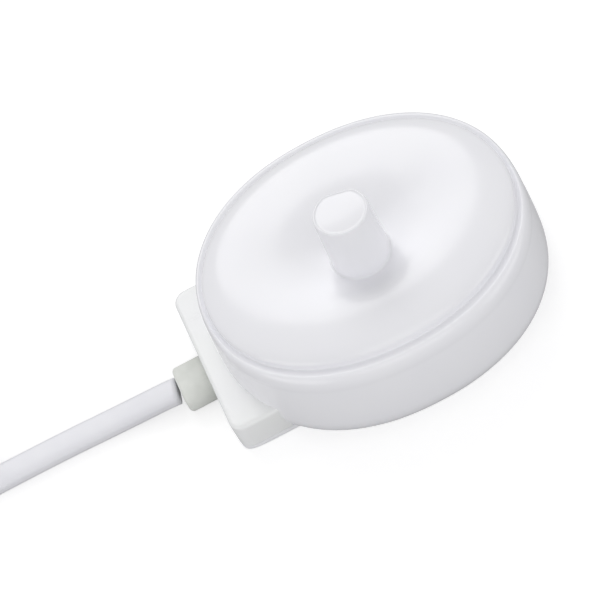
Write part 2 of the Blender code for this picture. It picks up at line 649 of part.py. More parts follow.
def make_lead():
    route = [from_exit(x * MM, y * MM, z * MM) for x, y, z in CORD_ROUTE_MM]
    tube("cord_run", smooth_route(route, 6.5 * MM), "lead_sheath",
         CORD_WIDTH / 2, CORD_THICKNESS / 2, CORD_SQUARENESS)
    centre = (CORD_EXIT[0] + COIL_OFFSET[0], CORD_EXIT[1] + COIL_OFFSET[1])
    soft = 1.2 * MM
    coil = turned("cord_coil", centre,
                  [(COIL_INNER + soft, 0), (COIL_OUTER - soft, 0), (COIL_OUTER, soft),
                   (COIL_OUTER, COIL_HEIGHT - soft), (COIL_OUTER - soft, COIL_HEIGHT),
                   (COIL_INNER + soft, COIL_HEIGHT), (COIL_INNER, COIL_HEIGHT - soft),
                   (COIL_INNER, soft)], "lead_sheath", 64)
    notch = box("tie_notch", (COIL_INNER - MM, -TIE_WIDTH / 2 - GAP, -MM),
                (COIL_OUTER + MM, TIE_WIDTH / 2 + GAP, TIE_THICKNESS + GAP), None)
    near = COIL_INNER - GAP
    far = COIL_OUTER + GAP
    top = COIL_HEIGHT + GAP
    tie = box("cord_tie", (near - TIE_THICKNESS, -TIE_WIDTH / 2, 0),
              (far + TIE_THICKNESS, TIE_WIDTH / 2, top + TIE_THICKNESS), "grommet_rubber")
    window = box("tie_window", (near, -TIE_WIDTH, TIE_THICKNESS), (far, TIE_WIDTH, top), None)
    for piece in (notch, tie, window):
        piece.location = (*centre, 0)
        piece.rotation_euler.z = TIE_ANGLE
    cut(coil, notch)
    cut(tie, window)
    tail = [from_exit(TAIL_X, TAIL_START, TAIL_START_Z - GROMMET_Z),
            from_exit(TAIL_X, (TAIL_START + TAIL_END) / 2, (TAIL_START_Z + PLUG_HALF_HEIGHT) / 2 - GROMMET_Z),
            from_exit(TAIL_X, TAIL_END, PLUG_HALF_HEIGHT - GROMMET_Z)]
    tube("cord_tail", smooth_route(tail, 4 * MM), "lead_sheath",
         CORD_WIDTH / 2, CORD_THICKNESS / 2, CORD_SQUARENESS)


def make_plug():
    """Flat two-pin plug that lies on the surface, pins pointing along +Y."""
    x, y, z = from_exit(TAIL_X, TAIL_END + GAP, PLUG_HALF_HEIGHT - GROMMET_Z)
    small = PLUG_RELIEF_RADIUS
    loft("plug_strain_relief",
         [upright_oval(small * grow, small * 0.8 * grow, 2.4, (x, z), y + PLUG_RELIEF_LENGTH * share)
          for share, grow in ((0.0, 0.8), (0.3, 0.88), (1.0, 1.0))], "lead_sheath")
    y += PLUG_RELIEF_LENGTH + GAP
    shape = ((0.0, 0.40, 0.72), (0.06, 0.46, 0.80), (0.3, 0.66, 0.93), (0.6, 0.92, 0.99),
             (0.78, 1.0, 1.0), (0.97, 1.0, 1.0), (1.0, 0.98, 0.96))
    loft("plug_body", [upright_oval(PLUG_HALF_WIDTH * wide, PLUG_HALF_HEIGHT * high, 4.0, (x, z),
                                    y + PLUG_LENGTH * share, 32) for share, wide, high in shape],
         "lead_sheath")
    y += PLUG_LENGTH + GAP
    for side, label in ((-1, "left"), (1, "right")):
        pin_x = x + side * PIN_SPACING / 2
        rod(f"plug_sleeve_{label}", (pin_x, y + PIN_SLEEVE_LENGTH / 2, z), 1, PIN_SLEEVE_LENGTH / 2,
            PIN_SLEEVE_RADIUS, "component_black")
        base = y + PIN_SLEEVE_LENGTH + GAP
        steps = ((PIN_RADIUS, 0.0), (PIN_RADIUS, PIN_TIP_LENGTH - PIN_RADIUS / 2),
                 (PIN_RADIUS / 2, PIN_TIP_LENGTH))
        loft(f"plug_pin_{label}", [upright_oval(r, r, 2.0, (pin_x, z), base + along, 16)
                                   for r, along in steps], "pin_nickel")


clear_scene()
PARTS = collection(COLLECTION_NAME)
CUTTERS = collection("cutters")
FINISHES = {name: material(name) for name in COLOURS}
make_housing()
make_block()
make_base_plate()
make_grommet()
make_clamp()
make_coil_and_core()
make_board()
make_wires()
make_lead()
make_plug()
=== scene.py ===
"""Toothbrush charging base: fine surfaces, finishes, lead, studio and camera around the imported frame.

Laid out as an add-on: settings, one operator for each piece or group of like pieces, and a panel.
Metres, +Z up. The base stands on z = 0 and its lead leaves towards +Y.
"""

import json
import math

import bmesh
import bpy
import numpy as np
from bpy.props import FloatProperty, IntProperty, PointerProperty, StringProperty
from mathutils import Matrix, Vector


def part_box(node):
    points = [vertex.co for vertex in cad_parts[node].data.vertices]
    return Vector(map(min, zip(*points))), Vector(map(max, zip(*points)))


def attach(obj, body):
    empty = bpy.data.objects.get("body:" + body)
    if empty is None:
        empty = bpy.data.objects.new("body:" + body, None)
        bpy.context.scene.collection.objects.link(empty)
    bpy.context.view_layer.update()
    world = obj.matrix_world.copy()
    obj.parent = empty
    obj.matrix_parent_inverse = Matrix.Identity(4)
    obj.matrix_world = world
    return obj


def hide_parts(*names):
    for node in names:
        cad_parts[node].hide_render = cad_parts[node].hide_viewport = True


bl_info = {
    "name": "Toothbrush Charging Base",
    "version": (1, 0, 0),
    "blender": (4, 5, 0),
    "location": "View3D > Sidebar > Charger",
    "description": "Builds the visible surfaces and finishes of a toothbrush charging base",
    "category": "Object",
}

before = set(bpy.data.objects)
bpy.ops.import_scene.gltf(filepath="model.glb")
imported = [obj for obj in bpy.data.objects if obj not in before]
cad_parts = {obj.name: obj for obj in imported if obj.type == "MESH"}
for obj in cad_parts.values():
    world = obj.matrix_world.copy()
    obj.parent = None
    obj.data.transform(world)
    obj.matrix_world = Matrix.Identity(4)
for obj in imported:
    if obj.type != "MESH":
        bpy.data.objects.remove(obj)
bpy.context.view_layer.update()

MM = 0.001
HOUSING_LOW, HOUSING_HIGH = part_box("top_housing")
BLOCK_LOW, BLOCK_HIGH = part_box("cord_block")
PLATE_LOW, PLATE_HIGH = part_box("base_plate")
GROMMET_LOW, GROMMET_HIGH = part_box("grommet")
COIL_LOW, COIL_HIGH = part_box("cord_coil")
RELIEF_LOW, RELIEF_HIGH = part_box("plug_strain_relief")
PLUG_LOW, PLUG_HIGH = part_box("plug_body")

SKIRT_HALF = (30.9 * MM, 33.95 * MM)   # widest line of the skirt, along X and Y
SHOULDER_MIX = 0.20                    # share of the ledge that the side leans in over
LEDGE_MIX = 0.60                       # share of the ledge where its level part starts
SIDE_LEAN = 1.7                        # power of the side's inward lean
ROLL_POWER = 0.58                      # 0.5 is a quarter ellipse, more is a gentler slope
POST_FLAT_ANGLE = math.radians(-14)    # way the post's flat faces, from +X
HOUSING_Y = (HOUSING_LOW[1] + HOUSING_HIGH[1]) / 2
CORD_EXIT = (0.0, GROMMET_HIGH[1], (GROMMET_LOW[2] + GROMMET_HIGH[2]) / 2)
COIL_CENTRE = ((COIL_LOW[0] + COIL_HIGH[0]) / 2, (COIL_LOW[1] + COIL_HIGH[1]) / 2)
PLUG_X = (PLUG_LOW[0] + PLUG_HIGH[0]) / 2
PLUG_Z = (PLUG_LOW[2] + PLUG_HIGH[2]) / 2


def length(name, value_mm, note):
    return FloatProperty(name=name, description=note, default=value_mm * MM, unit="LENGTH",
                         subtype="DISTANCE", precision=5)


def colour(name, value, note):
    return StringProperty(name=name, description=note + ", as an sRGB hex value", default=value)


class HousingSettings(bpy.types.PropertyGroup):
    """Sizes and colours of the moulded base."""
    ledge_sides: length("Ledge at the sides", 4.4, "Skirt's widest line to the cap's edge, along X")
    ledge_ends: length("Ledge at the ends", 2.15, "Skirt's widest line to the cap's edge, along Y")
    widest_z: length("Widest line", 5.5, "Height of the skirt's widest line")
    shoulder_z: length("Shoulder", 15.8, "Height where the side wall turns in to the ledge")
    ledge_z: length("Ledge", 19.1, "Height of the ledge's outer edge")
    cap_z: length("Cap edge", 18.8, "Height of the valley at the cap's edge")
    valley_radius: length("Valley radius", 0.3, "Hollow fillet between the ledge and the cap")
    roll_z: length("Roll foot", 19.9, "Height of the rolled rim's widest line")
    crest_rise: length("Crest rise", 2.9, "Crest of the rolled rim above its widest line")
    roll_width: length("Roll width", 10.0, "Widest line of the rolled rim to its crest")
    dish_depth: length("Dish depth", 2.0, "Floor of the dish at the post below the crest")
    lip_inset: length("Lip inset", 2.1, "Bottom lip inside the skirt's widest line")
    post_x: length("Post across", -4.1, "Post's axis from the housing's centre, along X")
    post_y: length("Post along", 0.43, "Post's axis from the housing's centre, along Y")
    post_radius: length("Post radius", 5.48, "Radius at the top of the post")
    post_base_radius: length("Post base radius", 5.95, "Radius at the foot of the post")
    post_flat: length("Post flat", 4.8, "Post's axis to its flat")
    post_fillet: length("Post fillet", 0.35, "Fillet between the post and the dish")
    post_bevel: length("Post bevel", 0.5, "Rounded edge around the post's top")
    around: IntProperty(name="Points around", description="Points around each section",
                        default=320, min=48, max=512)
    white: colour("White", "F3F3F6", "Glossy white of the housing")
    white_cool: colour("Cooler white", "EFEFF4", "Second white that the first drifts to")
    block_white: colour("Block white", "F1F3F0", "Slightly warmer white of the cord block")


class LeadSettings(bpy.types.PropertyGroup):
    """Sizes and colours of the lead, its coil and its plug."""
    width: length("Lead width", 5.6, "Width of the flat two-core lead")
    thickness: length("Lead thickness", 3.0, "Thickness of the flat two-core lead")
    pitch: length("Turn pitch", 3.15, "Distance between turns that lie side by side")
    sheath: colour("Sheath", "EDEDF1", "Soft PVC of the lead and plug")
    rubber: colour("Grommet rubber", "F0F1ED", "Grey-green elastomer of the grommet")


class StageSettings(bpy.types.PropertyGroup):
    """Camera, floor and lights."""
    azimuth: FloatProperty(name="Azimuth", description="Degrees round from looking along +Y",
                           default=-88.1)
    elevation: FloatProperty(name="Elevation", description="Degrees above the floor", default=51.7)
    roll: FloatProperty(name="Roll", description="Degrees that the camera is turned", default=-29.07)
    distance: FloatProperty(name="Distance", description="Camera to the point it looks at",
                            default=0.48, unit="LENGTH")
    lens: FloatProperty(name="Lens", description="Focal length on a 36 mm sensor, in mm", default=148.3)
    light_power: FloatProperty(name="Light power", description="Watts of a softbox whose share is one",
                               default=3.5, unit="POWER")
    light_size: FloatProperty(name="Softbox size", description="Across each round softbox, a metre away",
                              default=0.8, unit="LENGTH")
    sky: FloatProperty(name="Sky", description="Strength of the even surrounding light", default=0.55)
    glow: FloatProperty(name="Floor glow", description="How far the floor is overexposed", default=0.62)
    floor: colour("Floor", "BCBCBC", "Pale floor")


# Mesh helpers ------------------------------------------------------------------------------------

def linear(hex_value):
    """sRGB hex to a linear RGBA colour."""
    parts = [int(hex_value[i:i + 2], 16) / 255 for i in (0, 2, 4)]
    return (*[c / 12.92 if c <= 0.04045 else ((c + 0.055) / 1.055) ** 2.4 for c in parts], 1.0)


def turns(count, offset=0.0):
    return (np.arange(count) + offset) * (2 * math.pi / count)


def superellipse(angle, a, b, n):
    """Points on |x/a|^n + |y/b|^n = 1: the unit direction times (|cos|^n + |sin|^n)^(-1/n)."""
    c, s = np.cos(angle), np.sin(angle)
    reach = (np.abs(c) ** n + np.abs(s) ** n) ** (-1 / n)
    return a * c * reach, b * s * reach


def skin(name, rows, joined=False):
    """Closed mesh over rows of points that wrap around; a first or last row of one place is a pole.

    joined makes the last row meet the first, as on a ring; otherwise flat ends are filled to their
    middle by a pole row that the caller adds.
    """
    rows = np.asarray(rows, dtype=float)
    count = rows.shape[1]
    index = np.arange(rows.shape[0] * count).reshape(rows.shape[0], count)
    low, high = (index, np.roll(index, -1, axis=0)) if joined else (index[:-1], index[1:])
    quads = np.stack([low, np.roll(low, -1, axis=1), np.roll(high, -1, axis=1), high], axis=-1)
    mesh = bpy.data.meshes.new(name)
    mesh.from_pydata(rows.reshape(-1, 3).tolist(), [], quads.reshape(-1, 4).tolist())
    bm = bmesh.new()
    bm.from_mesh(mesh)
    bmesh.ops.remove_doubles(bm, verts=bm.verts, dist=1e-7)
    bmesh.ops.dissolve_degenerate(bm, edges=bm.edges, dist=1e-8)
    bmesh.ops.recalc_face_normals(bm, faces=bm.faces)
    bm.to_mesh(mesh)
    bm.free()
    mesh.shade_smooth()
    made = bpy.data.objects.new(name, mesh)
    bpy.context.scene.collection.objects.link(made)
    return made


def pole(row):
    """A row of the same length at the middle of another."""
    return np.repeat(row.mean(axis=0, keepdims=True), len(row), axis=0)


def row(x, y, z):
    """Points from arrays of which some may be single numbers."""
    return np.stack(np.broadcast_arrays(x, y, z), axis=-1).astype(float)


def finish_piece(made, finish, slot, *nodes):
    """Give a piece its material and body, and hide the CAD nodes that it stands for; slot is not used."""
    made.data.materials.clear()
    made.data.materials.append(finish)
    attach(made, "root")
    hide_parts(*nodes)


# Materials ---------------------------------------------------------------------------------------

def add(tree, kind, inputs=None, **settings):
    """Add a shader node, set its own settings, and link or set its inputs."""
    made = tree.nodes.new(kind)
    for key, value in settings.items():
        setattr(made, key, value)
    for key, value in (inputs or {}).items():
        if isinstance(value, bpy.types.NodeSocket):
            tree.links.new(value, made.inputs[key])
        else:
            made.inputs[key].default_value = value
    return made


def blank(name):
    """Material with a Principled shader, and Object coordinates scaled to millimetres."""
    made = bpy.data.materials.new(name)
    made.use_nodes = True
    tree = made.node_tree
    shader = tree.nodes["Principled BSDF"]
    place = add(tree, "ShaderNodeTexCoord")
    scaled = add(tree, "ShaderNodeMapping", {"Vector": place.outputs["Object"], "Scale": (1000, 1000, 1000)})
    return made, tree, shader, scaled.outputs["Vector"]


def drift(tree, where, first, second, size_mm, detail=2.0):
    """Colour that wanders between two hex values over patches of a real size."""
    noise = add(tree, "ShaderNodeTexNoise", {"Vector": where, "Scale": 1 / size_mm, "Detail": detail})
    mix = add(tree, "ShaderNodeMix", {"Factor": noise.outputs["Fac"], "A": linear(first),
                                      "B": linear(second)}, data_type="RGBA")
    return mix.outputs["Result"]


def rough(tree, where, low, high, size_mm):
    """Roughness that varies between two values over patches of a real size."""
    noise = add(tree, "ShaderNodeTexNoise", {"Vector": where, "Scale": 1 / size_mm, "Detail": 3.0})
    spread = add(tree, "ShaderNodeMapRange", {"Value": noise.outputs["Fac"], "From Min": 0.3,
                                              "From Max": 0.7, "To Min": low, "To Max": high})
    return spread.outputs["Result"]


def grain(tree, where, size_mm, height_mm, detail=2.0, strength=1.0):
    """Bump from noise with a grain of size_mm that stands height_mm."""
    noise = add(tree, "ShaderNodeTexNoise", {"Vector": where, "Scale": 1 / size_mm, "Detail": detail})
    bump = add(tree, "ShaderNodeBump", {"Height": noise.outputs["Fac"], "Distance": height_mm * MM,
                                        "Strength": strength})
    return bump.outputs["Normal"]


def glossy_abs(name, first, second, low=0.16, high=0.24):
    """Injection-moulded ABS from a polished tool: bright white with a clear but soft reflection.

    The eye gets a faint orange peel, 1.4 mm across, and slow drifts of white and of gloss.
    """
    made, tree, shader, where = blank(name)
    tree.links.new(drift(tree, where, first, second, 14.0), shader.inputs["Base Color"])
    tree.links.new(rough(tree, where, low, high, 5.0), shader.inputs["Roughness"])
    tree.links.new(grain(tree, where, 1.4, 0.004), shader.inputs["Normal"])
    shader.inputs["IOR"].default_value = 1.53
    return made


def eroded_abs(name, first, second):
    """ABS from a spark-eroded tool: an even satin of fine pits, drawn at 0.35 mm so that it shows."""
    made, tree, shader, where = blank(name)
    tree.links.new(drift(tree, where, first, second, 10.0), shader.inputs["Base Color"])
    tree.links.new(rough(tree, where, 0.42, 0.55, 3.0), shader.inputs["Roughness"])
    tree.links.new(grain(tree, where, 0.35, 0.012, 3.0), shader.inputs["Normal"])
    shader.inputs["IOR"].default_value = 1.53
    return made


def soft_pvc(name, first, second):
    """Plasticised PVC sheath: satin, a little waxy, with slow ripples 2.5 mm long from extrusion."""
    made, tree, shader, where = blank(name)
    tree.links.new(drift(tree, where, first, second, 8.0), shader.inputs["Base Color"])
    tree.links.new(rough(tree, where, 0.30, 0.42, 2.0), shader.inputs["Roughness"])
    tree.links.new(grain(tree, where, 2.5, 0.02, 4.0), shader.inputs["Normal"])
    shader.inputs["IOR"].default_value = 1.52
    return made


def elastomer(name, first, second):
    """Moulded thermoplastic elastomer: matt, with a fine tooth 0.3 mm across and a dusty sheen."""
    made, tree, shader, where = blank(name)
    tree.links.new(drift(tree, where, first, second, 4.0), shader.inputs["Base Color"])
    tree.links.new(rough(tree, where, 0.50, 0.62, 1.5), shader.inputs["Roughness"])
    tree.links.new(grain(tree, where, 0.3, 0.015, 3.0), shader.inputs["Normal"])
    shader.inputs["IOR"].default_value = 1.50
    shader.inputs["Sheen Weight"].default_value = 0.1
    return made


def plated(name, first, second, low, high):
    """Plated or bare metal, with fine marks of handling in its gloss."""
    made, tree, shader, where = blank(name)
    tree.links.new(drift(tree, where, first, second, 2.0), shader.inputs["Base Color"])
    tree.links.new(rough(tree, where, low, high, 0.6), shader.inputs["Roughness"])
    tree.links.new(grain(tree, where, 0.5, 0.002), shader.inputs["Normal"])
    shader.inputs["Metallic"].default_value = 1.0
    return made


def enamelled_copper(name):
    """Winding of enamelled wire: turns 0.3 mm apart show as fine level ridges with a warm gloss."""
    made, tree, shader, where = blank(name)
    tree.links.new(drift(tree, where, "C8672F", "A94F22", 3.0), shader.inputs["Base Color"])
    tree.links.new(rough(tree, where, 0.22, 0.34, 1.0), shader.inputs["Roughness"])
    ridges = add(tree, "ShaderNodeTexWave", {"Vector": where, "Scale": 1 / 0.3, "Distortion": 0.4},
                 bands_direction="Z")
    bump = add(tree, "ShaderNodeBump", {"Height": ridges.outputs["Fac"], "Distance": 0.1 * MM})
    tree.links.new(bump.outputs["Normal"], shader.inputs["Normal"])
    shader.inputs["Metallic"].default_value = 1.0
    return made


def electronic(name, first, second, low, high, grain_mm):
    """Case or coating of an electronic part: one colour, slightly mottled, with its own grain."""
    made, tree, shader, where = blank(name)
    tree.links.new(drift(tree, where, first, second, 2.0), shader.inputs["Base Color"])
    tree.links.new(rough(tree, where, low, high, 1.0), shader.inputs["Roughness"])
    tree.links.new(grain(tree, where, grain_mm, 0.01), shader.inputs["Normal"])
    return made


# Housing -----------------------------------------------------------------------------------------

def housing_plan(s, angle, mix, inset):
    """Housing section: a superellipse from the skirt's plan (mix 0) to the cap's (mix 1)."""
    x, y = superellipse(angle, SKIRT_HALF[0] - s.ledge_sides * mix - inset,
                        SKIRT_HALF[1] - s.ledge_ends * mix - inset, 2.21 - 0.12 * mix)
    return x, y + HOUSING_Y


def housing_rows(s, angle, profile):
    """Rows of the housing from (mix, inset, z) arrays."""
    mix, inset, z = (np.asarray(p, float)[:, None] for p in np.broadcast_arrays(*profile))
    x, y = housing_plan(s, angle[None, :], mix, inset)
    return row(x, y, z)


def side_profile(s, lip_z):
    """Skirt: quarter ellipse from the lip to the widest line, then a lean that grows as a power."""
    quarter = np.linspace(0, math.pi / 2, 14)
    low = (0 * quarter, s.lip_inset * (1 - np.sin(quarter)),
           s.widest_z - (s.widest_z - lip_z) * np.cos(quarter))
    up = np.linspace(0, 1, 30)[1:]
    high = (SHOULDER_MIX * up ** SIDE_LEAN, 0 * up, s.widest_z + (s.shoulder_z - s.widest_z) * up)
    return [np.concatenate(pair) for pair in zip(low, high)]


def ledge_profile(s):
    """Quarter ellipse over the shoulder, then the ledge straight to the valley at the cap's edge."""
    quarter = np.linspace(0, math.pi / 2, 16)[1:]
    over = (LEDGE_MIX - (LEDGE_MIX - SHOULDER_MIX) * np.cos(quarter), 0 * quarter,
            s.shoulder_z + (s.ledge_z - s.shoulder_z) * np.sin(quarter))
    flat = np.linspace(0, 1, 8)[1:]
    level = (LEDGE_MIX + (1 - LEDGE_MIX) * flat, -s.valley_radius * flat, s.ledge_z + (s.cap_z - s.ledge_z) * flat)
    return [np.concatenate(pair) for pair in zip(over, level)]


def rim_profile(s):
    """Rolled rim: a hollow quarter circle up from the ledge, then a roll over to the crest.

    The roll's height is crest_rise times (1 - u^2)^0.58, where u runs from 1 at its widest line to 0.
    """
    hollow = np.linspace(0, math.pi / 2, 9)
    foot = (1.0 + 0 * hollow, -s.valley_radius * (1 - np.sin(hollow)),
            s.cap_z + s.valley_radius * (1 - np.cos(hollow)))
    u = np.cos(np.linspace(0, math.pi / 2, 56) ** 1.3 / (math.pi / 2) ** 0.3)
    roll = (1.0 + 0 * u, s.roll_width * (1 - u),
            s.roll_z + s.crest_rise * (1 - u ** 2) ** ROLL_POWER)
    return [np.concatenate(pair) for pair in zip(foot, roll)]


def post_plan(s, angle, radius):
    """Circle cut by a flat: reach is the smooth minimum of the radius and flat / cos(angle)."""
    flat = np.maximum(radius - (s.post_radius - s.post_flat), radius * s.post_flat / s.post_radius)
    facing = np.clip(np.cos(angle - POST_FLAT_ANGLE), 1e-3, None)
    return (radius ** -26.0 + (flat / facing) ** -26.0) ** (-1 / 26.0)


def post_rows(s, angle, radius, z):
    """Rows of the post from radius and height arrays."""
    radius, z = (np.asarray(p, float)[:, None] for p in np.broadcast_arrays(radius, z))
    reach = post_plan(s, angle[None, :] * np.ones_like(radius), radius)
    return row(s.post_x + reach * np.cos(angle), HOUSING_Y + s.post_y + reach * np.sin(angle), z)


def dish_rows(s, crest, foot, depth, shares):
    """Dish: sections part of the way from the crest to the post's foot, falling as 1 - cos(0.8 pi share)."""
    share = np.asarray(shares)[:, None, None]
    rows = crest[None] + (foot - crest)[None] * share
    fall = (1 - np.cos(0.8 * math.pi * share[:, :, 0])) / (1 - math.cos(0.8 * math.pi))
    rows[:, :, 2] = crest[0, 2] - depth * fall
    return rows


def post_profile(s, dish_z, top_z):
    """Post: base fillet, tapered side, rounded edge, a shallow step down and the crowned top."""
    quarter = np.linspace(0, math.pi / 2, 10)
    fillet = (s.post_base_radius + s.post_fillet * (1 - np.sin(quarter)),
              dish_z + s.post_fillet * (1 - np.cos(quarter)))
    edge = top_z - 0.35 * MM
    rise = np.linspace(0, 1, 14)[1:]
    foot_z = dish_z + s.post_fillet
    side = (s.post_base_radius + (s.post_radius - s.post_base_radius) * rise,
            foot_z + (edge - s.post_bevel - foot_z) * rise)
    over = np.linspace(0, math.pi * 0.62, 10)[1:]
    bevel = (s.post_radius - s.post_bevel * 0.7 * (1 - np.cos(over)),
             edge - s.post_bevel * (1 - np.sin(over)))
    inner = bevel[0][-1] - 0.08 * MM
    floor_z = edge - 0.14 * MM
    shares = np.linspace(1, 0, 14)[:-1]
    crown = (inner * shares, floor_z + 0.45 * MM * (1 - shares ** 2))
    return [np.concatenate(pair) for pair in zip(fillet, side, bevel, crown)]


def housing_surface(s):
    """The whole outer skin, lip to crown, and a plain inner skin a wall's thickness behind it."""
    angle = turns(s.around)
    wall = 1.8 * MM
    top_z = HOUSING_HIGH[2]
    crest_z = s.roll_z + s.crest_rise
    dish_z = crest_z - s.dish_depth
    side = housing_rows(s, angle, side_profile(s, HOUSING_LOW[2]))
    ledge = housing_rows(s, angle, ledge_profile(s))
    rim = housing_rows(s, angle, rim_profile(s))
    foot = post_rows(s, angle, [s.post_base_radius + s.post_fillet], [dish_z])[0]
    dish = dish_rows(s, rim[-1], foot, s.dish_depth, np.linspace(0, 1, 26)[1:-1])
    radius, z = post_profile(s, dish_z, top_z)
    post = post_rows(s, angle, radius, z)
    crown = pole(post[-1])
    inner_z = [crest_z - wall, s.cap_z - wall * 0.6, s.ledge_z - wall * 1.3, s.shoulder_z - wall,
               s.widest_z + wall, s.widest_z, HOUSING_LOW[2]]
    inner = housing_rows(s, angle, ([1, 1, LEDGE_MIX, SHOULDER_MIX, 0, 0, 0],
                                    [s.roll_width, wall * 1.2, wall * 0.8, wall, wall, wall * 1.2,
                                     s.lip_inset + wall * 0.8], inner_z))
    bore = post_rows(s, angle, [s.post_radius - 1.5 * MM, s.post_radius - 1.0 * MM, 11 * MM],
                     [top_z - 1.9 * MM, dish_z - wall, dish_z - wall])
    rows = np.concatenate([side, ledge[:-1], rim, dish, post, crown[None], pole(bore[0])[None], bore, inner,
                           side[:1]])
    return skin("housing_shell", rows)


def rounded_slab(name, low, high, corner, edge, around=160):
    """Slab with rounded upright corners (squircle steps) and a quarter-round top edge."""
    angle = turns(around)
    half = [(b - a) / 2 for a, b in zip(low, high)]
    middle = [(b + a) / 2 for a, b in zip(low, high)]

    def outline(inset):
        """Rounded rectangle: the corner circle's point plus the straight half-lengths' signs."""
        radius = max(corner - inset, 0.05 * MM)
        c, s = np.cos(angle), np.sin(angle)
        x = (half[0] - inset - radius) * np.clip(c * 40, -1, 1) + radius * c
        y = (half[1] - inset - radius) * np.clip(s * 40, -1, 1) + radius * s
        return middle[0] + x, middle[1] + y

    rows = []
    for inset, z in ((0.15 * MM, low[2]), (0.0, low[2] + 0.15 * MM), (0.0, high[2] - edge)):
        rows.append(row(*outline(inset), z))
    for a in np.linspace(0, math.pi / 2, 9)[1:]:
        rows.append(row(*outline(edge * (1 - math.cos(a))), high[2] - edge * (1 - math.sin(a))))
    rows.append(row(*outline(edge * 1.6), high[2]))
    return skin(name, [pole(rows[0])] + rows + [pole(rows[-1])])


def carve(target, tool, name):
    """Take tool's volume out of target, and keep the result as a plain mesh at the origin."""
    change = target.modifiers.new("carve", "BOOLEAN")
    change.operation = "DIFFERENCE"
    change.solver = "EXACT"
    change.object = tool
    depsgraph = bpy.context.evaluated_depsgraph_get()
    mesh = bpy.data.meshes.new_from_object(target.evaluated_get(depsgraph))
    made = bpy.data.objects.new(name, mesh)
    bpy.context.scene.collection.objects.link(made)
    for old in (target, tool):
        bpy.data.objects.remove(old, do_unlink=True)
    mesh.shade_smooth()
    mesh.set_sharp_from_angle(angle=math.radians(40))
    return made


class CHARGER_OT_housing(bpy.types.Operator):
    """Top housing with its dish and post"""
    bl_idname = "charger.housing"
    bl_label = "Top Housing"

    def execute(self, context):
        s = context.scene.charger_housing
        made = housing_surface(s)
        finish_piece(made, glossy_abs("Polished white ABS", s.white, s.white_cool), "housing_plastic",
                     "top_housing")
        return {"FINISHED"}


class CHARGER_OT_block(bpy.types.Operator):
    """Cord block at the rear of the housing"""
    bl_idname = "charger.block"
    bl_label = "Cord Block"

    def execute(self, context):
        s = context.scene.charger_housing
        low = (BLOCK_LOW[0], HOUSING_Y + 16 * MM, BLOCK_LOW[2])
        slab = rounded_slab("block_slab", low, BLOCK_HIGH, 2.8 * MM, 0.8 * MM)
        angle = turns(200)
        mix, inset, z = side_profile(s, HOUSING_LOW[2])
        keep = z > s.widest_z - 0.1 * MM
        rows = housing_rows(s, angle, (mix[keep], inset[keep] + 0.7 * MM, z[keep]))
        bottom = rows[0].copy()
        bottom[:, 2] = -1 * MM
        tool = skin("skirt_room", [pole(bottom), bottom, *rows, pole(rows[-1])])
        made = carve(slab, tool, "cord_block_shell")
        finish_piece(made, glossy_abs("Polished warm white ABS", s.block_white, s.white, 0.2, 0.28),
                     "block_plastic", "cord_block")
        return {"FINISHED"}


class CHARGER_OT_plate(bpy.types.Operator):
    """Base plate under the housing and the block"""
    bl_idname = "charger.plate"
    bl_label = "Base Plate"

    def execute(self, context):
        s = context.scene.charger_housing
        made = plate_surface(s)
        finish_piece(made, eroded_abs("Satin white ABS", "F0F0F3", "ECECF0"), "base_plastic", "base_plate")
        return {"FINISHED"}


def plate_outline(s, angle, inset):
    """Outline of oval and tongue together: along each ray, the further of the two shapes' edges.

    The tongue is a superellipse box of high power, so its corners are rounded.
    """
    half_width, half_length = (half - s.lip_inset - inset for half in SKIRT_HALF)
    c, t = np.cos(angle), np.sin(angle)
    oval = (np.abs(c / half_width) ** 2.21 + np.abs(t / half_length) ** 2.21) ** (-1 / 2.21)
    reach_y = PLATE_HIGH[1] - HOUSING_Y - inset
    reach_x = PLATE_TONGUE_HALF - inset
    tongue = (np.abs(c / reach_x) ** 22 + np.abs(t / reach_y) ** 22) ** (-1 / 22)
    reach = np.where(t > 0, np.maximum(oval, tongue), oval)
    return reach * c, HOUSING_Y + reach * t


PLATE_TONGUE_HALF = (BLOCK_HIGH[0] - BLOCK_LOW[0]) / 2


def plate_surface(s):
    """Plate: rounded bottom edge, a groove that follows the oval, and a flat top.

    The rows run from the top's middle out, over the edge, and back under to the middle.
    """
    angle = turns(480)
    top_z = PLATE_LOW[2] + 1.0 * MM
    rows = []
    edge = row(*plate_outline(s, angle, 0.0), top_z)
    rows.append(pole(edge))
    rows.append(edge)
    for a in np.linspace(0, math.pi / 2, 6):
        rows.append(row(*plate_outline(s, angle, 0.3 * MM * (1 - math.cos(a))), 0.3 * MM * (1 - math.sin(a))))
    half_width, half_length = SKIRT_HALF
    for inset, z in ((4.9, 0.0), (5.0, 0.06), (5.1, 0.42), (5.25, 0.5), (5.95, 0.5), (6.1, 0.42),
                     (6.2, 0.06), (6.3, 0.0)):
        x, y = superellipse(angle, half_width - inset * MM, half_length - inset * MM, 2.21)
        rows.append(row(x, y + HOUSING_Y, z * MM))
    rows.append(pole(rows[-1]))
    return skin("base_plate_shell", rows)


# Grommet, lead and plug --------------------------------------------------------------------------

# Route of the visible run from the lead's exit: across, along and up, in millimetres.
CORD_ROUTE_MM = (
    (0.5, 0.6, 0.0),
    (0.9, 3.0, -0.25),
    (1.4, 7.0, -0.75),
    (1.85, 11.5, -1.2),
    (2.2, 16.5, -1.45),
    (2.45, 22.0, -1.55),
    (2.6, 30.0, -1.6),
    (2.65, 38.0, -1.6),
    (2.7, 46.0, -1.6),
    (2.7, 51.0, -1.6),
)
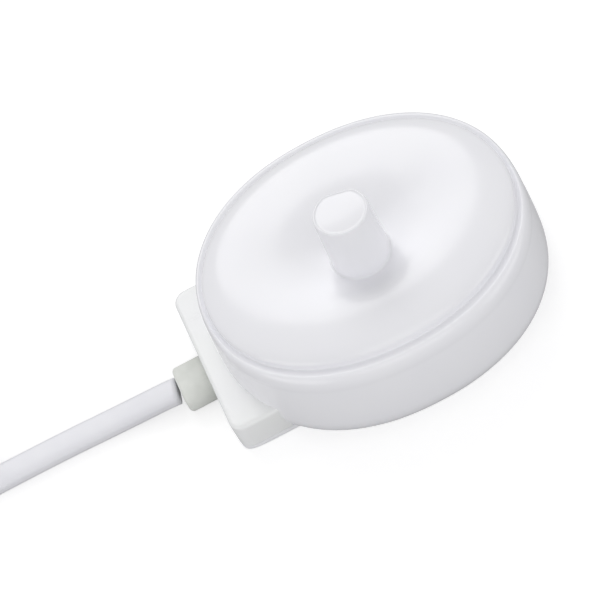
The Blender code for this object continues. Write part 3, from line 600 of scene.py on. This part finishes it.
# Tail from the coil's upper layer to the plug: across and along from the exit, and height above the floor.
TAIL_ROUTE_MM = (
    (3.5, 63.2, 8.25),
    (1.2, 69.3, 8.2),
    (-0.4, 75.0, 7.6),
    (-0.95, 79.3, 7.0),
    (-1.0, 82.2, 6.85),
)
COIL_FIRST_RADIUS = 32.2 * MM
LOWER_TURNS = 2.5
STEP_TURNS = 0.25
UPPER_TURNS = 2.194
TIE_ANGLE = math.radians(35)


def smooth_route(points, spacing):
    """Points a step apart on a Catmull-Rom curve through the given points."""
    given = np.array(points, dtype=float)
    padded = np.vstack([2 * given[0] - given[1], given, 2 * given[-1] - given[-2]])
    t = np.linspace(0, 1, 12, endpoint=False)[None, :, None]
    p0, p1, p2, p3 = (padded[i:len(padded) - 3 + i, None, :] for i in range(4))
    fine = 0.5 * (2 * p1 + (p2 - p0) * t + (2 * p0 - 5 * p1 + 4 * p2 - p3) * t ** 2
                  + (3 * p1 - p0 - 3 * p2 + p3) * t ** 3)
    return even_steps(np.vstack([fine.reshape(-1, 3), given[-1:]]), spacing)


def even_steps(line, spacing):
    """The same line with its points an even distance apart."""
    along = np.concatenate([[0], np.cumsum(np.linalg.norm(np.diff(line, axis=0), axis=1))])
    steps = np.linspace(0, along[-1], max(3, int(round(along[-1] / spacing)) + 1))
    return np.stack([np.interp(steps, along, line[:, k]) for k in range(3)], axis=1)


def standing_height(s, twist):
    """Height of a flat lead's middle above what it lies on, turned by twist about its length."""
    return np.hypot(s.width / 2 * np.sin(twist), s.thickness / 2 * np.cos(twist))


def coil_line(s):
    """Lower layer winds in, the lead steps up, and the upper layer winds out, all clockwise.

    Radius falls one pitch a turn below and grows one pitch a turn above; height is the lead on edge,
    once and then twice. Both layers rise over the tie that passes under them.
    """
    total = LOWER_TURNS + STEP_TURNS + UPPER_TURNS
    turn = np.linspace(0, total, 900)
    inner = COIL_FIRST_RADIUS - s.pitch * LOWER_TURNS
    radius = np.where(turn < LOWER_TURNS, COIL_FIRST_RADIUS - s.pitch * turn,
                      inner + s.pitch * np.clip(turn - LOWER_TURNS - STEP_TURNS, 0, None))
    angle = math.pi - 2 * math.pi * turn
    share = np.clip((turn - LOWER_TURNS) / STEP_TURNS, 0, 1)
    climb = share * share * (3 - 2 * share)
    off_tie = np.angle(np.exp(1j * (angle - TIE_ANGLE)))
    lift = 0.95 * MM * np.exp(-(off_tie / 0.35) ** 2)
    z = s.width / 2 + 0.1 * MM + climb * (s.width + 0.03 * MM) + lift
    line = np.stack([COIL_CENTRE[0] + radius * np.cos(angle),
                     COIL_CENTRE[1] + radius * np.sin(angle), z], axis=1)
    return line


def lead_line(s):
    """Whole centreline, exit to plug, and the lead's twist at each point.

    The lead lies flat where it is seen, turns on edge before the coil, and lies flat again at the plug.
    """
    exit_point = np.array(CORD_EXIT)
    run = smooth_route([exit_point + np.array(p) * MM for p in CORD_ROUTE_MM], 1.0 * MM)
    coil = coil_line(s)
    lead_in = np.linspace(run[-1], coil[0], 18)[1:-1]
    tail_start = (coil[-1] - (CORD_EXIT[0], CORD_EXIT[1], 0)) / MM
    tail = smooth_route([np.array((CORD_EXIT[0] + x * MM, CORD_EXIT[1] + y * MM, z * MM))
                         for x, y, z in (tail_start, *TAIL_ROUTE_MM)], 1.0 * MM)[1:]
    line = np.vstack([run, lead_in, coil, tail])
    along = np.concatenate([[0], np.cumsum(np.linalg.norm(np.diff(line, axis=0), axis=1))])
    turn_start = along[len(run) - 1] - 16 * MM
    turn_end = along[len(run) + len(lead_in)]
    back_start = along[len(run) + len(lead_in) + len(coil) - 1]
    up = np.clip((along - turn_start) / (turn_end - turn_start), 0, 1)
    down = np.clip((along - back_start) / (along[-1] - back_start), 0, 1)
    ease = [x * x * (3 - 2 * x) for x in (up, down)]
    twist = math.pi / 2 * (ease[0] - ease[1])
    ground = standing_height(s, twist) + 0.08 * MM
    first = slice(0, len(run) + len(lead_in))
    line[first, 2] = np.maximum(line[first, 2], ground[first])
    blend = np.clip((along[first] - turn_start) / (turn_end - turn_start), 0, 1)
    line[first, 2] = line[first, 2] * (1 - blend) + ground[first] * blend
    return line, twist


def swept(name, line, twist, half_width, half_height, power, around=28):
    """Superellipse section carried along a line: side is tangent x up, turned by twist."""
    tangent = np.gradient(line, axis=0)
    tangent /= np.linalg.norm(tangent, axis=1, keepdims=True)
    side = np.cross(tangent, (0.0, 0.0, 1.0))
    side /= np.linalg.norm(side, axis=1, keepdims=True)
    upward = np.cross(side, tangent)
    c, s = np.cos(twist)[:, None], np.sin(twist)[:, None]
    wide, thin = side * c + upward * s, upward * c - side * s
    x, y = superellipse(turns(around), half_width, half_height, power)
    rows = line[:, None, :] + wide[:, None, :] * x[None, :, None] + thin[:, None, :] * y[None, :, None]
    return skin(name, np.concatenate([pole(rows[0])[None], rows, pole(rows[-1])[None]]))


def along_y(name, centre, steps, power, around=96):
    """Solid of superellipse sections that face along Y, from (half width, half height, y) steps."""
    rows = []
    for half_width, half_height, y in steps:
        x, z = superellipse(turns(around), half_width, half_height, power)
        rows.append(row(centre[0] + x, y, centre[1] + z))
    return skin(name, [pole(rows[0])] + rows + [pole(rows[-1])])


class CHARGER_OT_grommet(bpy.types.Operator):
    """Rubber grommet that the lead leaves through"""
    bl_idname = "charger.grommet"
    bl_label = "Grommet"

    def execute(self, context):
        s = context.scene.charger_lead
        half_width = (GROMMET_HIGH[0] - GROMMET_LOW[0]) / 2
        half_height = (GROMMET_HIGH[2] - GROMMET_LOW[2]) / 2
        start, end = BLOCK_HIGH[1] - 0.5 * MM, GROMMET_HIGH[1]
        steps = [(half_width, half_height, start), (half_width, half_height, end - 0.9 * MM)]
        for a in np.linspace(0, math.pi / 2, 8)[1:]:
            inset = 0.9 * MM * (1 - math.cos(a))
            steps.append((half_width - inset, half_height - inset, end - 0.9 * MM * (1 - math.sin(a))))
        made = along_y("grommet_boot", (CORD_EXIT[0], CORD_EXIT[2]), steps, 3.0)
        finish_piece(made, elastomer("Grey-green elastomer", s.rubber, "D2D5CF"), "grommet_rubber", "grommet")
        return {"FINISHED"}


class CHARGER_OT_lead(bpy.types.Operator):
    """Flat lead, wound into its coil, and the tie that holds it"""
    bl_idname = "charger.lead"
    bl_label = "Lead and Tie"

    def execute(self, context):
        s = context.scene.charger_lead
        sheath = soft_pvc("White PVC sheath", s.sheath, "E8E8EE")
        line, twist = lead_line(s)
        lead = swept("lead", line, twist, s.width / 2, s.thickness / 2, 4.0)
        finish_piece(lead, sheath, "lead_sheath", "cord_run", "cord_coil", "cord_tail")
        tie = tie_surface(s)
        finish_piece(tie, elastomer("Grey strap elastomer", "D9DADB", "D2D3D5"), "grommet_rubber", "cord_tie")
        context.scene["lead_line"] = json.dumps(np.round(line, 6).tolist())
        return {"FINISHED"}


def tie_surface(s):
    """Strap: a rounded band carried around a rounded rectangle that clears the wound lead."""
    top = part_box("cord_tie")[1][2]
    inner, outer = COIL_FIRST_RADIUS - s.pitch * 2.5 - 2.4 * MM, COIL_FIRST_RADIUS + 2.3 * MM
    middle, reach = (inner + outer) / 2, (outer - inner) / 2
    height = top - 0.8 * MM
    around = turns(96)
    x, z = superellipse(around, reach, height / 2, 7.0)
    z = z + 0.4 * MM + height / 2
    line = np.stack([middle + x, 0 * x, z], axis=1)
    normal = np.stack([np.gradient(z), 0 * x, -np.gradient(x)], axis=1)
    normal /= np.linalg.norm(normal, axis=1, keepdims=True)
    thick, wide = superellipse(turns(16), 0.38 * MM, 2.9 * MM, 5.0)
    rows = (line[:, None, :] + normal[:, None, :] * thick[None, :, None]
            + np.array((0.0, 1.0, 0.0))[None, None, :] * wide[None, :, None])
    c, t = math.cos(TIE_ANGLE), math.sin(TIE_ANGLE)
    turned = np.stack([COIL_CENTRE[0] + rows[..., 0] * c - rows[..., 1] * t,
                       COIL_CENTRE[1] + rows[..., 0] * t + rows[..., 1] * c, rows[..., 2]], axis=-1)
    turned[..., 2] = np.maximum(turned[..., 2], 0.0)
    return skin("lead_tie", turned, joined=True)


def ridge(y, start, end, pitch, depth):
    """Row of rounded grooves between two places: depth times a raised cosine of the pitch."""
    inside = (y > start) & (y < end)
    return np.where(inside, depth * (0.5 - 0.5 * np.cos(2 * math.pi * (y - start) / pitch)), 0.0)


def relief_surface():
    """Tapered strain relief with five ribs: its size swells as a raised cosine along its length."""
    start, end = RELIEF_LOW[1], PLUG_LOW[1] + 0.6 * MM
    y = np.linspace(start, end, 110)
    share = (y - start) / (end - start)
    grow = 0.74 + 0.26 * share - ridge(share, 0.10, 0.85, 0.15, 0.14)
    round_in = np.clip(share / 0.05, 0, 1)
    grow = grow * (0.86 + 0.14 * np.sqrt(1 - (1 - round_in) ** 2))
    half = (RELIEF_HIGH[0] - RELIEF_LOW[0]) / 2
    return along_y("strain_relief", (PLUG_X, PLUG_Z), zip(half * grow, half * 0.8 * grow, y), 2.4)


def plug_surface():
    """Flat plug: width and height follow smooth steps from the neck to the face, with finger grips."""
    low, high = PLUG_LOW, PLUG_HIGH
    y = np.concatenate([np.linspace(low[1], low[1] + 1.2 * MM, 8)[:-1],
                        np.linspace(low[1] + 1.2 * MM, high[1] - 1.0 * MM, 120),
                        np.linspace(high[1] - 1.0 * MM, high[1], 10)[1:]])
    share = (y - low[1]) / (high[1] - low[1])
    half_width, half_height = (high[0] - low[0]) / 2, (high[2] - low[2]) / 2
    swell = np.clip(share / 0.78, 0, 1)
    wide = half_width * (0.42 + 0.58 * swell ** 1.15 * (3 - 2 * swell ** 1.15) / 1.0 * 1.0)
    wide = np.minimum(wide, half_width)
    high_share = np.clip(share / 0.5, 0, 1)
    tall = half_height * (0.74 + 0.26 * high_share * (2 - high_share))
    start_round = np.sqrt(1 - (1 - np.clip((y - low[1]) / (1.2 * MM), 0, 1)) ** 2)
    end_round = np.sqrt(1 - (1 - np.clip((high[1] - y) / (1.0 * MM), 0, 1)) ** 2)
    trim = 0.9 * MM * (1 - start_round) + 0.8 * MM * (1 - end_round)
    grip = ridge(y, low[1] + 7 * MM, low[1] + 19 * MM, 2.4 * MM, 0.45 * MM)
    angle = turns(128)
    x, z = superellipse(angle[None, :], (wide - trim)[:, None], (tall - trim)[:, None], 4.0)
    inside = np.abs(x) < (wide[:, None] * 0.62)
    z = z - np.sign(z) * grip[:, None] * inside * np.clip(1 - (np.abs(x) / (wide[:, None] * 0.62)) ** 6, 0, 1)
    rows = row(PLUG_X + x, y[:, None], PLUG_Z + z)
    return skin("plug_moulding", np.concatenate([pole(rows[0])[None], rows, pole(rows[-1])[None]]))


class CHARGER_OT_plug(bpy.types.Operator):
    """Flat two-pin plug with its strain relief, pin sleeves and pins"""
    bl_idname = "charger.plug"
    bl_label = "Plug"

    def execute(self, context):
        s = context.scene.charger_lead
        moulding = soft_pvc("White moulded PVC", s.sheath, "E9E9EE")
        relief, plug = relief_surface(), plug_surface()
        finish_piece(relief, moulding, "lead_sheath", "plug_strain_relief")
        finish_piece(plug, moulding, "lead_sheath", "plug_body")
        with_pieces = [relief, plug, bpy.data.objects["lead_tie"]]
        nickel = plated("Nickel-plated brass", "D6D3CB", "C9C6BD", 0.12, 0.22)
        sleeve_finish = electronic("Black nylon sleeve", "161617", "1E1E20", 0.35, 0.5, 0.4)
        for side in ("left", "right"):
            low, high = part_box(f"plug_sleeve_{side}")
            x = (low[0] + high[0]) / 2
            radius = (high[0] - low[0]) / 2
            sleeve = along_y(f"pin_sleeve_{side}", (x, PLUG_Z), [
                (radius, radius, low[1] - 0.4 * MM), (radius, radius, high[1] - 0.2 * MM),
                (radius - 0.1 * MM, radius - 0.1 * MM, high[1])], 2.0, 40)
            finish_piece(sleeve, sleeve_finish, "component_black", f"plug_sleeve_{side}")
            low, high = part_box(f"plug_pin_{side}")
            radius = (high[0] - low[0]) / 2
            steps = [(radius - 0.1 * MM, radius - 0.1 * MM, low[1] - 0.3 * MM), (radius, radius, low[1])]
            for a in np.linspace(0, math.pi / 2, 9):
                round_off = radius * (1 - 0.92 * (1 - math.cos(a)))
                steps.append((round_off, round_off, high[1] - radius * 0.8 * (1 - math.sin(a))))
            pin = along_y(f"pin_tip_{side}", (x, PLUG_Z), steps, 2.0, 40)
            finish_piece(pin, nickel, "pin_nickel", f"plug_pin_{side}")
            with_pieces += [sleeve, pin]
        line = json.loads(context.scene["lead_line"])
        return {"FINISHED"}


class CHARGER_OT_works(bpy.types.Operator):
    """Finishes of the works sealed inside the housing"""
    bl_idname = "charger.works"
    bl_label = "Inner Works"

    def execute(self, context):
        s = context.scene.charger_lead
        satin = eroded_abs("Satin clamp ABS", "F0F0F3", "E9E9EC")
        zinc = plated("Zinc-plated steel", "B9BABD", "A7A8AC", 0.25, 0.4)
        black = electronic("Black moulded epoxy", "151516", "202022", 0.4, 0.55, 0.2)
        finishes = {
            "inner_cord_end": soft_pvc("White core sheath", s.sheath, "E2E2E8"),
            "cord_clamp": satin,
            "clamp_screw_left": zinc,
            "clamp_screw_right": zinc,
            "coil_bobbin": electronic("Natural nylon", "E3DCC8", "D8D0BA", 0.4, 0.55, 0.5),
            "charging_coil": enamelled_copper("Enamelled copper winding"),
            "ferrite_core": electronic("Sintered ferrite", "2A2A2C", "353538", 0.55, 0.75, 0.15),
            "circuit_board": electronic("Green solder mask", "1F5A2A", "194B23", 0.3, 0.4, 0.6),
            "film_capacitor": electronic("Yellow epoxy case", "D9B23A", "CDA52F", 0.35, 0.5, 0.5),
            "electrolytic_capacitor": electronic("Dark blue sleeve", "1B2340", "232C4C", 0.25, 0.35, 0.8),
            "filter_choke": electronic("Black heat-shrink", "1C1C1E", "262628", 0.5, 0.6, 0.4),
            "switching_transistor": black,
            "fusible_resistor": electronic("Blue-grey cement coating", "6E8FA3", "5F8095", 0.5, 0.65, 0.2),
            "neutral_wire": electronic("Blue PVC insulation", "1F3F9E", "1A368A", 0.35, 0.5, 0.5),
            "live_wire": electronic("Brown PVC insulation", "5B3521", "4D2C1B", 0.35, 0.5, 0.5),
        }
        finishes.update({f"diode_{i}": black for i in range(1, 5)})
        for name, finish in finishes.items():
            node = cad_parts[name]
            node.data.materials.clear()
            node.data.materials.append(finish)
        return {"FINISHED"}


# Stage -------------------------------------------------------------------------------------------

AIM = (-0.0005, 0.00987, 0.01199)
# Name, degrees round from +X, degrees up, share of the light power: a bright back light, a weaker one
# in front, and an even pair low at the sides.
SOFTBOXES = (
    ("back", 0, 40, 1.0),
    ("front", 180, 40, 0.4),
    ("left", 120, 15, 0.6),
    ("right", 240, 15, 0.6),
)


class CHARGER_OT_stage(bpy.types.Operator):
    """Pale floor, soft studio light and the camera"""
    bl_idname = "charger.stage"
    bl_label = "Stage"

    def execute(self, context):
        s = context.scene.charger_stage
        place_camera(context.scene, s)
        half = 6.0
        floor = skin("floor", [[(0, 0, -0.00005)] * 4, [(half * x, half * y, -0.00005)
                                                      for x, y in ((1, 1), (-1, 1), (-1, -1), (1, -1))]])
        floor.data.materials.append(studio_sweep(s))
        for name, round_deg, up_deg, share in SOFTBOXES:
            softbox(name, math.radians(round_deg), math.radians(up_deg), s.light_size, s.light_power * share)
        surround(context.scene, s.sky)
        context.scene.view_settings.view_transform = "Standard"
        return {"FINISHED"}


def studio_sweep(s):
    """Overexposed pale paper sweep: white where it is seen, and a soft grey bounce to the object."""
    made, tree, shader, where = blank("Pale studio paper")
    tree.links.new(drift(tree, where, s.floor, "B9B9BA", 120.0), shader.inputs["Base Color"])
    shader.inputs["Roughness"].default_value = 0.9
    shader.inputs["Emission Color"].default_value = (1, 1, 1, 1)
    path = add(tree, "ShaderNodeLightPath")
    level = add(tree, "ShaderNodeMapRange",
                {"Value": path.outputs["Is Camera Ray"], "To Min": 0.0, "To Max": s.glow})
    tree.links.new(level.outputs["Result"], shader.inputs["Emission Strength"])
    return made


def place_camera(scene, s):
    """Camera on the sphere round its aim, turned about its own axis by the roll."""
    azimuth, elevation, roll = (math.radians(v) for v in (s.azimuth, s.elevation, s.roll))
    back = Vector((math.sin(azimuth) * math.cos(elevation), -math.cos(azimuth) * math.cos(elevation),
                   math.sin(elevation)))
    right = Vector((0, 0, 1)).cross(back).normalized()
    up = back.cross(right)
    turned_right = right * math.cos(roll) + up * math.sin(roll)
    turned_up = up * math.cos(roll) - right * math.sin(roll)
    data = bpy.data.cameras.new("camera")
    data.lens = s.lens
    data.sensor_width = 36.0
    data.clip_start = 0.01
    camera = bpy.data.objects.new("camera", data)
    camera.matrix_world = Matrix.Translation(Vector(AIM) + back * s.distance) @ Matrix(
        (turned_right, turned_up, back)).transposed().to_4x4()
    scene.collection.objects.link(camera)
    scene.camera = camera


def softbox(name, round_from_x, up, size, power):
    """Round softbox a metre from the middle of the base."""
    place = Vector((math.cos(round_from_x) * math.cos(up),
                    math.sin(round_from_x) * math.cos(up), math.sin(up)))
    data = bpy.data.lights.new(name, "AREA")
    data.shape = "DISK"
    data.size = size
    data.energy = power
    lamp = bpy.data.objects.new(name, data)
    lamp.matrix_world = Matrix.Translation(place) @ place.to_track_quat("Z", "Y").to_matrix().to_4x4()
    bpy.context.scene.collection.objects.link(lamp)


def surround(scene, strength):
    """White room: even light from all round, and plain white where the camera sees past the floor."""
    world = bpy.data.worlds.new("studio")
    world.use_nodes = True
    tree = world.node_tree
    tree.nodes.clear()
    path = add(tree, "ShaderNodeLightPath")
    level = add(tree, "ShaderNodeMapRange", {"Value": path.outputs["Is Camera Ray"], "To Min": strength,
                                             "To Max": 1.0})
    light = add(tree, "ShaderNodeBackground", {"Color": (1, 1, 1, 1), "Strength": level.outputs["Result"]})
    add(tree, "ShaderNodeOutputWorld", {"Surface": light.outputs["Background"]})
    scene.world = world


class CHARGER_PT_panel(bpy.types.Panel):
    """Buttons for each group of pieces"""
    bl_idname = "CHARGER_PT_panel"
    bl_label = "Charging Base"
    bl_space_type = "VIEW_3D"
    bl_region_type = "UI"
    bl_category = "Charger"

    def draw(self, context):
        for operator in OPERATORS:
            self.layout.operator(operator.bl_idname)
        for group in ("charger_housing", "charger_lead", "charger_stage"):
            box = self.layout.box()
            settings = getattr(context.scene, group)
            for name in settings.__annotations__:
                box.prop(settings, name)


GROUPS = {"charger_housing": HousingSettings, "charger_lead": LeadSettings, "charger_stage": StageSettings}
OPERATORS = (CHARGER_OT_stage, CHARGER_OT_housing, CHARGER_OT_block, CHARGER_OT_plate, CHARGER_OT_grommet,
             CHARGER_OT_lead, CHARGER_OT_plug, CHARGER_OT_works)


def register():
    for group in GROUPS.values():
        bpy.utils.register_class(group)
    for operator in OPERATORS:
        bpy.utils.register_class(operator)
    bpy.utils.register_class(CHARGER_PT_panel)
    for name, group in GROUPS.items():
        setattr(bpy.types.Scene, name, PointerProperty(type=group))


def unregister():
    for name in GROUPS:
        delattr(bpy.types.Scene, name)
    bpy.utils.unregister_class(CHARGER_PT_panel)
    for operator in reversed(OPERATORS):
        bpy.utils.unregister_class(operator)
    for group in GROUPS.values():
        bpy.utils.unregister_class(group)


def main():
    register()
    for step in ("stage", "housing", "block", "plate", "grommet", "lead", "plug", "works"):
        getattr(bpy.ops.charger, step)()


if __name__ == "__main__":
    main()
